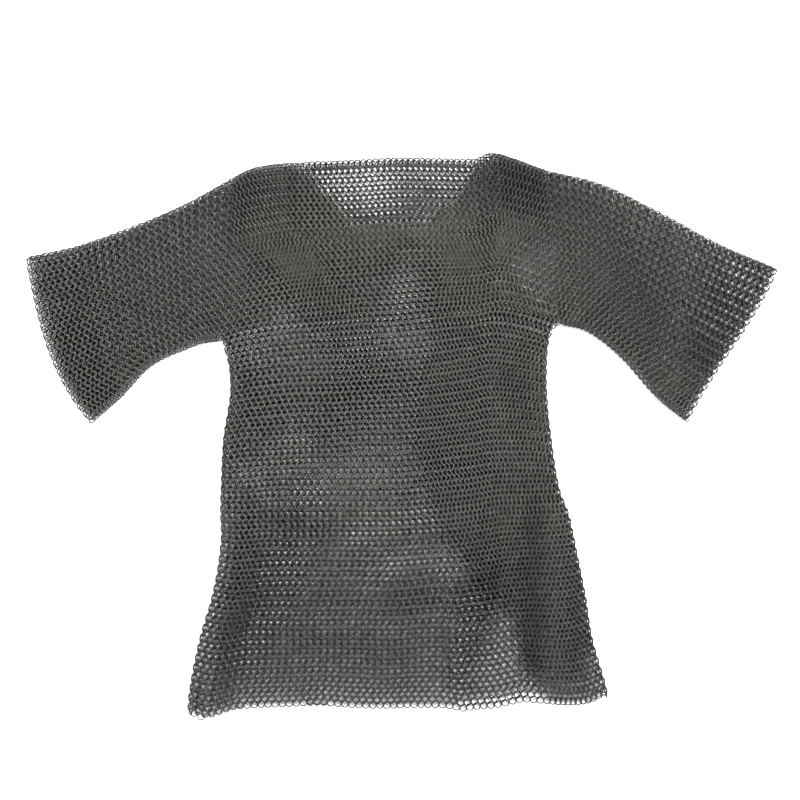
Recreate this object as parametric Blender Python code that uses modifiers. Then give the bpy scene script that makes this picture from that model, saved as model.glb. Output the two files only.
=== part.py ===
"""Mail haubergeon, laid flat: a short-sleeved shirt of linked steel rings with a cut-out neck.

The shirt lies on its back. The body is a front panel on a back panel, and each sleeve is a
flattened tube that is open at its cuff and its armhole. Each layer is a wall as thick as the
leaning rings of the mail. X runs across the shirt, Y from the hem to the neck, Z is up, and
the origin is at the middle of the underside. Metres.
"""
from math import cos, hypot, pi, radians, sin

import bmesh
import bpy
from mathutils import Vector

# ---------------------------------------------------------------- driving sizes
RING_BORE = 0.010                   # inside of one ring
WIRE = 0.0018                       # wire of one ring
RING_LEAN = radians(22)             # how far a ring leans out of the layer's plane
SEAM_GAP = 0.0003                   # between pieces that touch
ROWS_TO_ARMPIT = 76                 # rows from the hem to the armpits
ROWS_ARMHOLE = 36                   # rows from the armpits to the shoulders
MIDDLE = 0.480                      # height of the shirt's middle above the hem's zero

RING_RADIUS = (RING_BORE + WIRE) / 2
WALL = 2 * RING_RADIUS * sin(RING_LEAN) + WIRE      # one layer of mail
FRONT_LEVEL = WALL + SEAM_GAP                       # underside of the front panel
STACK = 2 * WALL + SEAM_GAP                         # both layers
FOLD_RADIUS = STACK / 2                             # outside of a sleeve's fold
SLEEVE_WALL = WALL - SEAM_GAP
ARMPIT = ROWS_TO_ARMPIT / (ROWS_TO_ARMPIT + ROWS_ARMHOLE)   # share of the rows below the armpit

# Side folds of the body: height above the hem's lowest point, and place of each fold.
BODY_SIDES = (
    # height, left, right
    (0.000, -0.365, 0.352),
    (0.045, -0.362, 0.349),
    (0.130, -0.345, 0.325),
    (0.215, -0.321, 0.311),
    (0.300, -0.308, 0.294),
    (0.345, -0.309, 0.284),
    (0.385, -0.308, 0.269),
    (0.470, -0.304, 0.255),
    (0.555, -0.292, 0.247),
    (0.640, -0.299, 0.249),
    (0.660, -0.301, 0.254),
    (0.675, -0.302, 0.267),
)

# Bottom edges: place across the shirt, and height of each panel's edge there.
HEM = (
    # across, back, front
    (-0.364, 0.008, 0.013),
    (-0.335, -0.002, 0.007),
    (-0.285, 0.012, 0.020),
    (-0.200, 0.017, 0.026),
    (-0.139, 0.022, 0.031),
    (-0.049, 0.013, 0.023),
    (0.061, 0.018, 0.028),
    (0.102, 0.008, 0.027),
    (0.167, 0.015, 0.042),
    (0.205, 0.027, 0.048),
    (0.226, 0.025, 0.034),
    (0.250, 0.021, 0.046),
    (0.295, 0.017, 0.034),
    (0.347, 0.038, 0.041),
)

# Top edge of both panels: left shoulder, back of the neck, right shoulder.
TOP = (
    # across, height
    (-0.282, 0.919),
    (-0.250, 0.932),
    (-0.190, 0.942),
    (-0.100, 0.944),
    (0.014, 0.949),
    (0.118, 0.946),
    (0.150, 0.959),
    (0.185, 0.951),
    (0.243, 0.929),
)

# Sleeves, from the armhole to the cuff: the fold along the arm's top and the underarm fold.
LEFT_SLEEVE = (
    # top across, top height, underarm across, underarm height
    (-0.282, 0.919, -0.302, 0.645),
    (-0.372, 0.869, -0.360, 0.625),
    (-0.461, 0.832, -0.425, 0.594),
    (-0.551, 0.801, -0.476, 0.541),
    (-0.640, 0.782, -0.526, 0.497),
)
RIGHT_SLEEVE = (
    # top across, top height, underarm across, underarm height
    (0.243, 0.929, 0.267, 0.674),
    (0.342, 0.904, 0.323, 0.650),
    (0.440, 0.856, 0.379, 0.604),
    (0.541, 0.803, 0.434, 0.540),
    (0.641, 0.761, 0.484, 0.499),
)
LEFT_CUFF_BOW = (0.016, 0.030)      # how far a cuff's edge bows out, by its top and its underarm
RIGHT_CUFF_BOW = (0.012, -0.008)

# Neck cut-out of the front panel: a trapezoid, open at the top.
NECK_TOP = 0.941                    # height of the left corner
NECK_FLOOR = 0.836                  # height of its straight lower edge
NECK_TOP_LEFT = -0.171
NECK_TOP_RIGHT = 0.130
NECK_FLOOR_LEFT = -0.080
NECK_FLOOR_RIGHT = 0.056
NECK_RUN_ON = 1.5                   # length of the cutting block over the depth of the cut-out

# Soft folds of the front panel: ridges rise, troughs have a negative rise.
FRONT_CROWN = 0.003                 # how far the panel stands up between its folded sides
CROWN_EDGE = 0.10                   # share of the width over which it comes up
FOLDS = (
    # start across, start height, end across, end height, bow, half width, rise
    (0.014, 0.800, -0.010, 0.680, 0.000, 0.020, 0.006),     # pucker under the neck
    (-0.236, 0.750, -0.188, 0.640, 0.000, 0.024, 0.004),    # left chest
    (0.166, 0.750, 0.108, 0.650, 0.000, 0.024, 0.004),      # right chest
    (-0.150, 0.487, -0.265, 0.383, 0.000, 0.030, 0.005),    # left waist ridge
    (-0.139, 0.425, -0.294, 0.080, 0.018, 0.030, -0.005),   # left trough down to the hem
    (-0.110, 0.305, 0.140, 0.322, 0.028, 0.020, 0.004),     # upper arc across the skirt
    (-0.036, 0.254, 0.120, 0.242, 0.022, 0.018, 0.004),     # lower arc across the skirt
    (0.223, 0.372, 0.223, 0.020, 0.000, 0.016, -0.006),     # groove beside the right side
    (0.252, 0.372, 0.256, 0.030, 0.000, 0.022, 0.005),      # roll outside that groove
    (0.145, 0.240, 0.084, 0.040, 0.000, 0.018, -0.005),     # groove across the right skirt
    (0.172, 0.190, 0.170, 0.030, 0.000, 0.026, 0.004),      # swell between the two grooves
    (0.174, 0.600, 0.218, 0.478, 0.000, 0.024, -0.004),     # right waist trough
    (0.333, 0.120, 0.336, 0.045, 0.000, 0.018, 0.005),      # rolled right corner
)

FOLD_FADE = 3                       # how soon a fold comes up from its ends: higher is sooner
HEM_FADE = 6                        # how soon the hem's waves die out up the body: higher is sooner
TOP_FADE = 3                        # the same for the shoulders' curve, down the body

# Mesh steps of each piece.
FRONT_STEPS = (28, 40)              # across, up
BACK_STEPS = (16, 24)
SLEEVE_STEPS = 8                    # along the sleeve
FLAT_STEPS = 8                      # across each flat side of a sleeve
FOLD_STEPS = 4                      # round each of its folds
EDGE_ROUND = 0.0022                 # rounding of the panels' edges


# ---------------------------------------------------------------- the shirt's cut
def smooth(table, place, column):
    """Value of a column at a place along a table's first column, on a smooth curve."""
    last = len(table) - 1
    i = 0
    while i < last - 1 and table[i + 1][0] < place:
        i += 1

    def slope(k):
        low = table[max(k - 1, 0)]
        high = table[min(k + 1, last)]
        return (high[column] - low[column]) / (high[0] - low[0])

    start, end = table[i], table[i + 1]
    span = end[0] - start[0]
    u = min(max((place - start[0]) / span, 0.0), 1.0)
    return ((2 * u**3 - 3 * u**2 + 1) * start[column] + (u**3 - 2 * u**2 + u) * span * slope(i)
            + (3 * u**2 - 2 * u**3) * end[column] + (u**3 - u**2) * span * slope(i + 1))


def side_point(t, column, sleeve):
    """Point on one side of the body, from the hem's corner (t = 0) to the shoulder (t = 1)."""
    shoulder = Vector(sleeve[0][0:2])
    armpit = Vector(sleeve[0][2:4])
    if t >= ARMPIT:
        return armpit.lerp(shoulder, (t - ARMPIT) / (1 - ARMPIT))
    corner = HEM[0] if column == 1 else HEM[-1]
    height = corner[1] + (armpit.y - corner[1]) * t / ARMPIT
    return Vector((smooth(BODY_SIDES, height, column), height))


def body_point(s, t, hem_column):
    """Plan point of a body panel: s runs from left to right, t from the hem to the top."""
    left = side_point(t, 1, LEFT_SLEEVE)
    right = side_point(t, 2, RIGHT_SLEEVE)
    point = left.lerp(right, s)
    hem_line = HEM[0][1] + (HEM[-1][1] - HEM[0][1]) * s
    top_line = TOP[0][1] + (TOP[-1][1] - TOP[0][1]) * s
    hem_across = HEM[0][0] + (HEM[-1][0] - HEM[0][0]) * s
    top_across = TOP[0][0] + (TOP[-1][0] - TOP[0][0]) * s
    point.y += (smooth(HEM, hem_across, hem_column) - hem_line) * (1 - t) ** HEM_FADE
    point.y += (smooth(TOP, top_across, 1) - top_line) * t ** TOP_FADE
    return point


def sleeve_point(sleeve, bow, along, up):
    """Plan point of a sleeve: along runs from armhole to cuff, up from the underarm to the top."""
    stations = [(i / (len(sleeve) - 1), *row) for i, row in enumerate(sleeve)]
    top = Vector((smooth(stations, along, 1), smooth(stations, along, 2)))
    under = Vector((smooth(stations, along, 3), smooth(stations, along, 4)))
    cuff = Vector(sleeve[-1][0:2]) - Vector(sleeve[-1][2:4])
    outward = Vector((cuff.y, -cuff.x)).normalized()
    if outward.x * top.x < 0:
        outward.negate()
    bulge = (bow[0] * up + bow[1] * (1 - up)) * 4 * up * (1 - up)
    return under.lerp(top, up) + outward * (bulge * along**2)


def relief(point, s):
    """Height that the soft folds add to the front panel at a plan point."""
    edge = min(s, 1 - s) / CROWN_EDGE
    height = FRONT_CROWN * sin(pi / 2 * min(edge, 1.0))
    for x0, y0, x1, y1, bow, half_width, rise in FOLDS:
        length = hypot(x1 - x0, y1 - y0)
        ahead = Vector(((x1 - x0) / length, (y1 - y0) / length))
        offset = point - Vector((x0, y0))
        share = offset.dot(ahead) / length
        if not 0 < share < 1:
            continue
        sideways = offset.dot(Vector((-ahead.y, ahead.x))) - bow * 4 * share * (1 - share)
        reach = abs(sideways) / (2 * half_width)
        if reach < 1:
            height += rise * (1 - reach**2) ** 2 * min(1.0, FOLD_FADE * sin(pi * share))
    return max(height, 0.0)


# ---------------------------------------------------------------- building blocks
def steel(name, shade):
    """Blackened steel of one shade."""
    material = bpy.data.materials.new(name)
    material.use_nodes = True
    shader = material.node_tree.nodes["Principled BSDF"]
    shader.inputs["Base Color"].default_value = (shade, shade * 1.03, shade, 1)
    shader.inputs["Metallic"].default_value = 0.85
    shader.inputs["Roughness"].default_value = 0.45
    return material


def new_object(name, mesh, collection, material=None):
    """Put a mesh in the model as a named object."""
    obj = bpy.data.objects.new(name, mesh)
    collection.objects.link(obj)
    if material:
        mesh.materials.append(material)
    return obj


def grid_mesh(name, steps, place):
    """A grid of steps[0] by steps[1] faces, each point moved to place(u, v), u and v in 0..1."""
    bm = bmesh.new()
    bmesh.ops.create_grid(bm, x_segments=steps[0], y_segments=steps[1], size=0.5)
    for vert in bm.verts:
        vert.co = place(vert.co.x + 0.5, vert.co.y + 0.5)
    bmesh.ops.remove_doubles(bm, verts=bm.verts, dist=1e-6)
    if all(edge.is_manifold for edge in bm.edges):
        bmesh.ops.recalc_face_normals(bm, faces=bm.faces)
    mesh = bpy.data.meshes.new(name)
    bm.to_mesh(mesh)
    bm.free()
    return mesh


def in_frame(point, z):
    """World place of a plan point, with the origin at the middle of the shirt."""
    return Vector((point.x, point.y - MIDDLE, z))


def add_wall(obj, thickness, side):
    """Give an open surface its thickness, on its outer (1) or inner (-1) side."""
    wall = obj.modifiers.new("Wall", "SOLIDIFY")
    wall.thickness = thickness
    wall.offset = side
    wall.use_even_offset = True


def add_round(obj):
    """Round the panel's edges, as mail does where it folds over or ends."""
    bevel = obj.modifiers.new("Edge", "BEVEL")
    bevel.width = EDGE_ROUND
    bevel.segments = 2
    bevel.limit_method = "ANGLE"
    bevel.angle_limit = radians(60)


# ---------------------------------------------------------------- the pieces
def make_back_panel(collection, material):
    """Back of the body, flat on its underside, up to the back of the neck."""
    def place(s, t):
        return in_frame(body_point(inset(s), t, 1), 0.0)

    obj = new_object("back_panel", grid_mesh("back_panel", BACK_STEPS, place), collection, material)
    add_wall(obj, WALL, 1)
    add_round(obj)


def make_front_panel(collection, cutters, material):
    """Front of the body, on the back panel, with its soft folds and the neck cut out."""
    def place(s, t):
        point = body_point(inset(s), t, 2)
        return in_frame(point, FRONT_LEVEL + relief(point, s))

    obj = new_object("front_panel", grid_mesh("front_panel", FRONT_STEPS, place), collection, material)
    add_wall(obj, WALL, 1)
    cut = obj.modifiers.new("Neck", "BOOLEAN")
    cut.operation = "DIFFERENCE"
    cut.object = make_neck_cutter(cutters)
    add_round(obj)


def inset(s):
    """Keep a body panel's sides half a seam gap off the sleeves and inside the folds."""
    width = TOP[-1][0] - TOP[0][0]
    margin = SEAM_GAP / width
    return margin + (1 - 2 * margin) * s


def make_neck_cutter(collection):
    """Block of the neck's shape, run on past the top of the shirt."""
    bm = bmesh.new()
    bmesh.ops.create_cube(bm, size=1.0)
    for vert in bm.verts:
        if vert.co.x > 0:
            low, high = Vector((NECK_FLOOR_RIGHT, NECK_FLOOR)), Vector((NECK_TOP_RIGHT, NECK_TOP))
        else:
            low, high = Vector((NECK_FLOOR_LEFT, NECK_FLOOR)), Vector((NECK_TOP_LEFT, NECK_TOP))
        corner = low.lerp(high, NECK_RUN_ON) if vert.co.y > 0 else low
        vert.co = in_frame(corner, 3 * STACK if vert.co.z > 0 else WALL / 2)
    mesh = bpy.data.meshes.new("neck_cutter")
    bm.to_mesh(mesh)
    bm.free()
    cutter = new_object("neck_cutter", mesh, collection)
    cutter.hide_render = True
    cutter.display_type = "WIRE"
    return cutter


def make_sleeve(name, sleeve, bow, collection, material):
    """One sleeve: a flattened tube, open at the armhole and at the cuff.

    One grid is wrapped both ways: along the outside to the cuff and back along the inside,
    and round the tube over its two flat layers and its two folds.
    """
    around = 2 * (FLAT_STEPS + FOLD_STEPS)
    lengthwise = 2 * SLEEVE_STEPS + 2
    start = SEAM_GAP / (Vector(sleeve[1][2:4]) - Vector(sleeve[0][2:4])).length / (len(sleeve) - 1)

    def place(u, v):
        along_step = round(u * lengthwise) % lengthwise
        outside = along_step <= SLEEVE_STEPS
        share = (along_step if outside else lengthwise - 1 - along_step) / SLEEVE_STEPS
        station = start + (1 - start) * share
        inward = 0.0 if outside else SLEEVE_WALL
        depth = (sleeve_point(sleeve, bow, station, 1.0) - sleeve_point(sleeve, bow, station, 0.0)).length
        margin = FOLD_RADIUS / depth
        radius = FOLD_RADIUS - inward
        step = round(v * around) % around
        if step <= FLAT_STEPS:                              # top layer, from the underarm up
            up = margin + (1 - 2 * margin) * step / FLAT_STEPS
            z = STACK - inward
        elif step <= FLAT_STEPS + FOLD_STEPS:               # top fold
            angle = pi * (step - FLAT_STEPS) / FOLD_STEPS
            up = 1 - margin + radius / depth * sin(angle)
            z = FOLD_RADIUS + radius * cos(angle)
        elif step <= 2 * FLAT_STEPS + FOLD_STEPS:           # lower layer, back to the underarm
            up = 1 - margin - (1 - 2 * margin) * (step - FLAT_STEPS - FOLD_STEPS) / FLAT_STEPS
            z = inward
        else:                                               # underarm fold
            angle = pi * (step - 2 * FLAT_STEPS - FOLD_STEPS) / FOLD_STEPS
            up = margin - radius / depth * sin(angle)
            z = FOLD_RADIUS - radius * cos(angle)
        return in_frame(sleeve_point(sleeve, bow, station, up), z)

    new_object(name, grid_mesh(name, (lengthwise, around), place), collection, material)


def main():
    """Clear the scene and build the shirt."""
    for obj in list(bpy.data.objects):
        bpy.data.objects.remove(obj)
    shirt = bpy.data.collections.new("mail_haubergeon")
    cutters = bpy.data.collections.new("cutters")
    bpy.context.scene.collection.children.link(shirt)
    bpy.context.scene.collection.children.link(cutters)
    make_back_panel(shirt, steel("blackened_steel_back", 0.055))
    make_front_panel(shirt, cutters, steel("blackened_steel_front", 0.075))
    make_sleeve("left_sleeve", LEFT_SLEEVE, LEFT_CUFF_BOW, shirt, steel("blackened_steel_left", 0.065))
    make_sleeve("right_sleeve", RIGHT_SLEEVE, RIGHT_CUFF_BOW, shirt, steel("blackened_steel_right", 0.065))


main()
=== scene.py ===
"""Mail haubergeon, laid flat: the linked steel rings of the shirt and the stage that shows it.

The shirt lies on its back, front up. X runs across it, Y from the hem to the neck, Z is up.
Each layer is knitted of rings in rows from cuff to cuff. The rings of a row lean one way,
those of the next row lean the other way, and each ring passes through two in the row above
and two in the row below. Metres.
"""
from math import cos, pi, radians, sin

import bpy
import numpy as np
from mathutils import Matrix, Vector
from mathutils.noise import noise
from bpy.props import (EnumProperty, FloatProperty, FloatVectorProperty, IntProperty,
                       PointerProperty)


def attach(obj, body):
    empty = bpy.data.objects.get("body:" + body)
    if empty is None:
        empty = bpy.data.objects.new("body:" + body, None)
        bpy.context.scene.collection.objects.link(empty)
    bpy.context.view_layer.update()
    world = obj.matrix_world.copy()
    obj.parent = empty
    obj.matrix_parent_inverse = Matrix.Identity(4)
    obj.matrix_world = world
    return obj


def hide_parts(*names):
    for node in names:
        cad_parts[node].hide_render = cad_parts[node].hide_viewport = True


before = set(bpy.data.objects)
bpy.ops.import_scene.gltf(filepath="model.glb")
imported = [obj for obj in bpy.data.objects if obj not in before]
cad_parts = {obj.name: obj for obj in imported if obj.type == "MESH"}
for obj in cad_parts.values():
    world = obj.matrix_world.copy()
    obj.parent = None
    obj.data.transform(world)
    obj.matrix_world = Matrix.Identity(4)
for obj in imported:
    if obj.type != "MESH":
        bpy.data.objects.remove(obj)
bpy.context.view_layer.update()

bl_info = {
    "name": "Mail Haubergeon",
    "version": (1, 0, 0),
    "blender": (4, 5, 0),
    "location": "View3D > Sidebar > Mail",
    "description": "Links a mail shirt of blackened steel rings and lights it",
    "category": "Object",
}

# ---------------------------------------------------------------- the shirt's cut
MIDDLE = 0.480                                  # height of the shirt's middle above the hem's zero
SEAM_GAP = 0.0003                               # between the under layer and the upper one

# Side folds of the body: height above the hem's zero, and place of each fold.
BODY_SIDES = (
    # height, left, right
    (0.000, -0.365, 0.352),
    (0.045, -0.362, 0.349),
    (0.130, -0.345, 0.325),
    (0.215, -0.321, 0.311),
    (0.300, -0.308, 0.294),
    (0.345, -0.309, 0.284),
    (0.385, -0.308, 0.269),
    (0.470, -0.304, 0.255),
    (0.555, -0.292, 0.247),
    (0.640, -0.299, 0.249),
    (0.660, -0.301, 0.254),
    (0.675, -0.302, 0.267),
)

# Bottom edges: place across the shirt, and height of each panel's edge there.
HEM = (
    # across, back, front
    (-0.364, 0.004, 0.006),
    (-0.335, -0.006, -0.003),
    (-0.285, 0.013, 0.0165),
    (-0.200, 0.019, 0.0235),
    (-0.139, 0.024, 0.0240),
    (-0.049, 0.023, 0.0238),
    (0.061, 0.024, 0.0245),
    (0.088, 0.019, 0.0250),
    (0.102, 0.014, 0.0310),
    (0.125, 0.0145, 0.0330),
    (0.167, 0.015, 0.0357),
    (0.205, 0.023, 0.0400),
    (0.226, 0.021, 0.0425),
    (0.240, 0.0195, 0.0425),
    (0.252, 0.018, 0.0360),
    (0.266, 0.016, 0.0280),
    (0.295, 0.014, 0.0275),
    (0.325, 0.018, 0.0290),
    (0.347, 0.032, 0.0380),
)

# Top edge of both panels: left shoulder, back of the neck, right shoulder.
TOP = (
    # across, height
    (-0.282, 0.919),
    (-0.250, 0.932),
    (-0.190, 0.942),
    (-0.100, 0.944),
    (0.014, 0.949),
    (0.118, 0.946),
    (0.150, 0.959),
    (0.185, 0.951),
    (0.243, 0.929),
)

# Sleeves, from the armhole to the cuff: the fold along the arm's top and the underarm fold.
SLEEVES = {
    "left": (
        # top across, top height, underarm across, underarm height
        (-0.282, 0.919, -0.302, 0.645),
        (-0.372, 0.869, -0.360, 0.625),
        (-0.461, 0.832, -0.425, 0.594),
        (-0.551, 0.801, -0.476, 0.541),
        (-0.640, 0.782, -0.526, 0.497),
    ),
    "right": (
        # top across, top height, underarm across, underarm height
        (0.243, 0.929, 0.267, 0.674),
        (0.342, 0.904, 0.323, 0.650),
        (0.440, 0.856, 0.379, 0.604),
        (0.541, 0.803, 0.434, 0.540),
        (0.641, 0.761, 0.484, 0.499),
    ),
}
CUFF_BOW = {"left": (0.016, 0.030), "right": (0.012, -0.008)}   # by the top, by the underarm
CUFF_CLOSER = 0.07              # links are this share wider at the armhole, twice it closer at the cuff

# Neck cut-out of the front panel: a trapezoid, open at the top.
NECK_TOP = 0.941
NECK_FLOOR = 0.836
NECK_TOP_SIDES = (-0.171, 0.130)
NECK_FLOOR_SIDES = (-0.080, 0.056)

# Where the mail has drawn together across: share of the way up the rows, the stretch of the
# panel's width between two places, and how much closer its links are there.
GATHERS = (
    (   # right of the belly and chest, up to the right shoulder
        # up the rows, from, to, closer by
        (0.000, 0.850, 1.060, 0.35),
        (0.060, 0.830, 1.060, 0.50),
        (0.170, 0.780, 1.060, 0.50),
        (0.242, 0.690, 1.060, 0.50),
        (0.314, 0.640, 1.060, 0.50),
        (0.457, 0.570, 1.060, 0.50),
        (0.600, 0.590, 1.060, 0.45),
        (0.673, 0.606, 1.040, 0.42),
        (0.740, 0.622, 0.900, 0.40),
        (0.820, 0.660, 0.930, 0.40),
        (0.880, 0.800, 1.060, 0.50),
        (1.000, 0.810, 1.060, 0.50),
    ),
    (   # left of the chest, up to the left shoulder
        # up the rows, from, to, closer by
        (0.000, 0.300, 0.500, 0.00),
        (0.540, 0.310, 0.520, 0.00),
        (0.610, 0.290, 0.520, 0.25),
        (0.673, 0.242, 0.470, 0.38),
        (0.740, 0.165, 0.372, 0.40),
        (0.820, 0.080, 0.280, 0.40),
        (0.880, -0.060, 0.205, 0.45),
        (1.000, -0.060, 0.195, 0.50),
    ),
    (   # beside the left side of the skirt
        # up the rows, from, to, closer by
        (0.000, 0.030, 0.120, 0.00),
        (0.100, 0.030, 0.120, 0.00),
        (0.170, 0.020, 0.130, 0.30),
        (0.260, 0.020, 0.130, 0.30),
        (0.400, 0.020, 0.130, 0.00),
        (1.000, 0.030, 0.120, 0.00),
    ),
)
GATHER_EDGE = 0.05                              # over this share of the width it begins and ends
WIDTH_STEPS = 121                               # places across at which the links are counted

# The rows of the chest arch upwards: share of the way up the rows, and height of the arch.
ARCH = (
    # up the rows, rise
    (0.000, 0.000),
    (0.360, 0.000),
    (0.460, 0.009),
    (0.600, 0.014),
    (0.680, 0.021),
    (0.760, 0.023),
    (0.820, 0.016),
    (0.880, 0.005),
    (0.940, 0.000),
    (1.000, 0.000),
)
ARCH_TOP = 0.70                                 # place across of the arch's highest point

# Soft folds of the front panel: ridges rise, troughs have a negative rise.
FRONT_CROWN = 0.003                             # height of the front's middle above its sides
CROWN_EDGE = 0.10                               # share of the width over which it rises
FOLDS = (
    # start across, start height, end across, end height, bow, half width, rise
    (0.014, 0.800, -0.010, 0.680, 0.000, 0.020, 0.006),     # pucker under the neck
    (-0.236, 0.750, -0.188, 0.640, 0.000, 0.024, 0.004),    # left chest
    (0.166, 0.750, 0.108, 0.650, 0.000, 0.024, 0.004),      # right chest
    (-0.150, 0.487, -0.265, 0.383, 0.000, 0.030, 0.005),    # left waist ridge
    (-0.139, 0.425, -0.294, 0.080, 0.018, 0.030, -0.005),   # left trough down to the hem
    (-0.110, 0.305, 0.140, 0.322, 0.028, 0.020, 0.004),     # upper arc across the skirt
    (-0.036, 0.254, 0.120, 0.242, 0.022, 0.018, 0.004),     # lower arc across the skirt
    (0.223, 0.372, 0.223, 0.020, 0.000, 0.016, -0.006),     # groove beside the right side
    (0.252, 0.372, 0.256, 0.030, 0.000, 0.022, 0.005),      # roll outside that groove
    (0.145, 0.240, 0.084, 0.040, 0.000, 0.018, -0.005),     # groove across the right skirt
    (0.172, 0.190, 0.170, 0.030, 0.000, 0.026, 0.004),      # swell between the two grooves
    (0.174, 0.600, 0.218, 0.478, 0.000, 0.024, -0.004),     # right waist trough
    (0.333, 0.120, 0.336, 0.045, 0.000, 0.018, 0.005),      # rolled right corner
)
# Painted shade, as bands with soft edges where the steel is drawn darker: in the folds, on the sleeves, at
# the corners.
PAINTED_SHADE_BANDS = (
    # start across, start height, end across, end height, half width, share
    (-0.640, 0.640, -0.420, 0.740, 0.260, 0.20),            # left sleeve
    (0.640, 0.630, 0.440, 0.740, 0.260, 0.62),              # right sleeve
    (-0.200, 0.130, 0.200, 0.130, 0.330, 0.46),             # the whole skirt
    (-0.200, 0.430, 0.020, 0.430, 0.110, 0.22),             # the belly
    (0.125, 0.215, 0.125, 0.080, 0.060, 0.30),              # the skirt left of the grooves
    (0.600, 0.760, 0.530, 0.610, 0.090, 0.55),              # right cuff
    (-0.180, 0.360, -0.290, 0.090, 0.050, 0.35),            # left trough down to the hem
    (-0.330, 0.200, -0.350, 0.010, 0.090, 0.35),            # left corner
    (0.225, 0.400, 0.222, 0.010, 0.030, 0.25),              # groove beside the right side
    (0.150, 0.240, 0.090, 0.030, 0.030, 0.40),              # groove across the right skirt
    (0.330, 0.220, 0.345, 0.020, 0.070, 0.35),              # right corner
    (-0.300, 0.905, -0.200, 0.920, 0.130, 0.40),            # left shoulder
    (0.150, 0.920, 0.270, 0.900, 0.130, 0.70),              # right shoulder
)
FOLD_WEAR_AND_SHADE = 60                                # share of crown brightness gained for each metre that a fold rises: ridges lighter, partly rubbed and partly painted highlight; troughs darker as painted shade
FOLD_FADE = 3                                   # how steeply a fold begins and ends along its length
HEM_FADE = 6                                    # how fast the hem's curve dies away up the rows
TOP_FADE = 2                                    # and the top edge's curve down the rows
FIRST_ROW = 0.75                                # rows from the hem's edge to the first row of links
SPARE_ROWS = 0.45                               # the plan is this many rows longer than its count
SIDE_ROOM = 0.0065                              # from a side's outline to the first flat rings
SIDE_ROOM_FADE = 0.06                           # share of the rows over which that room begins
FOLD_ROOM = 0.0055                              # from a sleeve's edge to the middles of its last rings
SLEEVE_REACH = 0.30                             # rough length of a sleeve, for the room at its cuff
ROOM_FADE = 0.2                                 # share of a sleeve over which the underarm's room begins
WAVER = 0.0022                                  # how far rows stray from their even places
WAVER_SCALE = 13                                # waves of that straying in one metre, roughly
WAVER_LAYER = 7.5                               # slice of the noise that the straying is read from
WAVER_FADE = 0.06                               # share of the width over which it begins
LEVEL_FROM = 0.45                               # left of this share of the width, low rows run level
EVEN_ROWS = (0.60, 0.25)                        # and rows above climb evenly: start, length of the change
TINY = 1e-4                                     # step for directions on the cloth, as a share
WIDE_PITCH = 0.0105                             # spacing of the links where they lean least
CLOSE_PITCH = 0.0070                            # and where they lean most
EVEN_PITCH = 0.0098                             # drawn-together links count as this far apart in the cut
PROFILE_TURN = radians(90)                      # turn of the three-sided wire's section
WIRE_FULLNESS = 1.45                            # a three-sided wire is drawn this much fuller


# ---------------------------------------------------------------- settings
class MailLinkSettings(bpy.types.PropertyGroup):
    """Sizes of the rings and of their rows."""

    bore: FloatProperty(name="Ring bore", description="Inside of one ring",
                        default=0.0100, min=0.004, unit="LENGTH")
    wire: FloatProperty(name="Wire", description="Thickness of a ring's wire",
                        default=0.0018, min=0.0005, unit="LENGTH")
    lean: FloatProperty(name="Lean", description="How far a ring leans where links are wide apart",
                        default=radians(22), subtype="ANGLE")
    tight_lean: FloatProperty(name="Tight lean", description="How far a ring leans where links are close",
                              default=radians(30), subtype="ANGLE")
    unevenness: FloatProperty(name="Unevenness", description="Largest chance turn of one ring",
                              default=radians(4), subtype="ANGLE")
    ring_sides: IntProperty(name="Ring sides", description="Straight steps round a ring",
                            default=9, min=6, max=24)
    wire_sides: IntProperty(name="Wire sides", description="Faces round the wire",
                            default=3, min=3, max=8)
    across: IntProperty(name="Links across", description="Links in a row of one body panel",
                        default=62, min=20, max=80)
    rows_to_armpit: IntProperty(name="Rows to armpit", description="Rows below the armpits",
                                default=76, min=20, max=90)
    rows_armhole: IntProperty(name="Rows at armhole", description="Rows from armpit to shoulder",
                              default=36, min=12, max=44)
    along_left: IntProperty(name="Links along left sleeve",
                            description="Links in a row of the left sleeve",
                            default=29, min=10, max=36)
    along_right: IntProperty(name="Links along right sleeve",
                             description="Links in a row of the right sleeve",
                             default=32, min=10, max=36)
    seed: IntProperty(name="Seed", description="Start of the chance turns and tones", default=7)


class MailSteelSettings(bpy.types.PropertyGroup):
    """Finish of the blackened steel."""

    # The crown colour is rubbed steel and also painted highlight; the recess colour is blackened steel and
    # also painted shade.
    crown: FloatVectorProperty(name="Crown colour", description="Steel where it has worn",
                               subtype="COLOR", size=3, default=(0.0479, 0.0502, 0.0447))
    low_crown: FloatVectorProperty(name="Low crown colour", description="Worn steel near the hem",
                                   subtype="COLOR", size=3, default=(0.0458, 0.0496, 0.0460))
    recess: FloatVectorProperty(name="Recess colour", description="Blackened steel in the depths",
                                subtype="COLOR", size=3, default=(0.008, 0.0085, 0.008))
    # The layer underneath is drawn darker as painted shade beneath the upper layer; the share is of the
    # crowns' brightness kept.
    under_layer_shade: FloatProperty(name="Under layer shade", description="Wear of the layer underneath, as a share",
                              default=0.35, min=0, max=1)
    metallic: FloatProperty(name="Metallic", description="Share of bare metal", default=0.60,
                            min=0, max=1)
    roughness: FloatProperty(name="Roughness", description="Middle roughness", default=0.50,
                             min=0, max=1)


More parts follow.
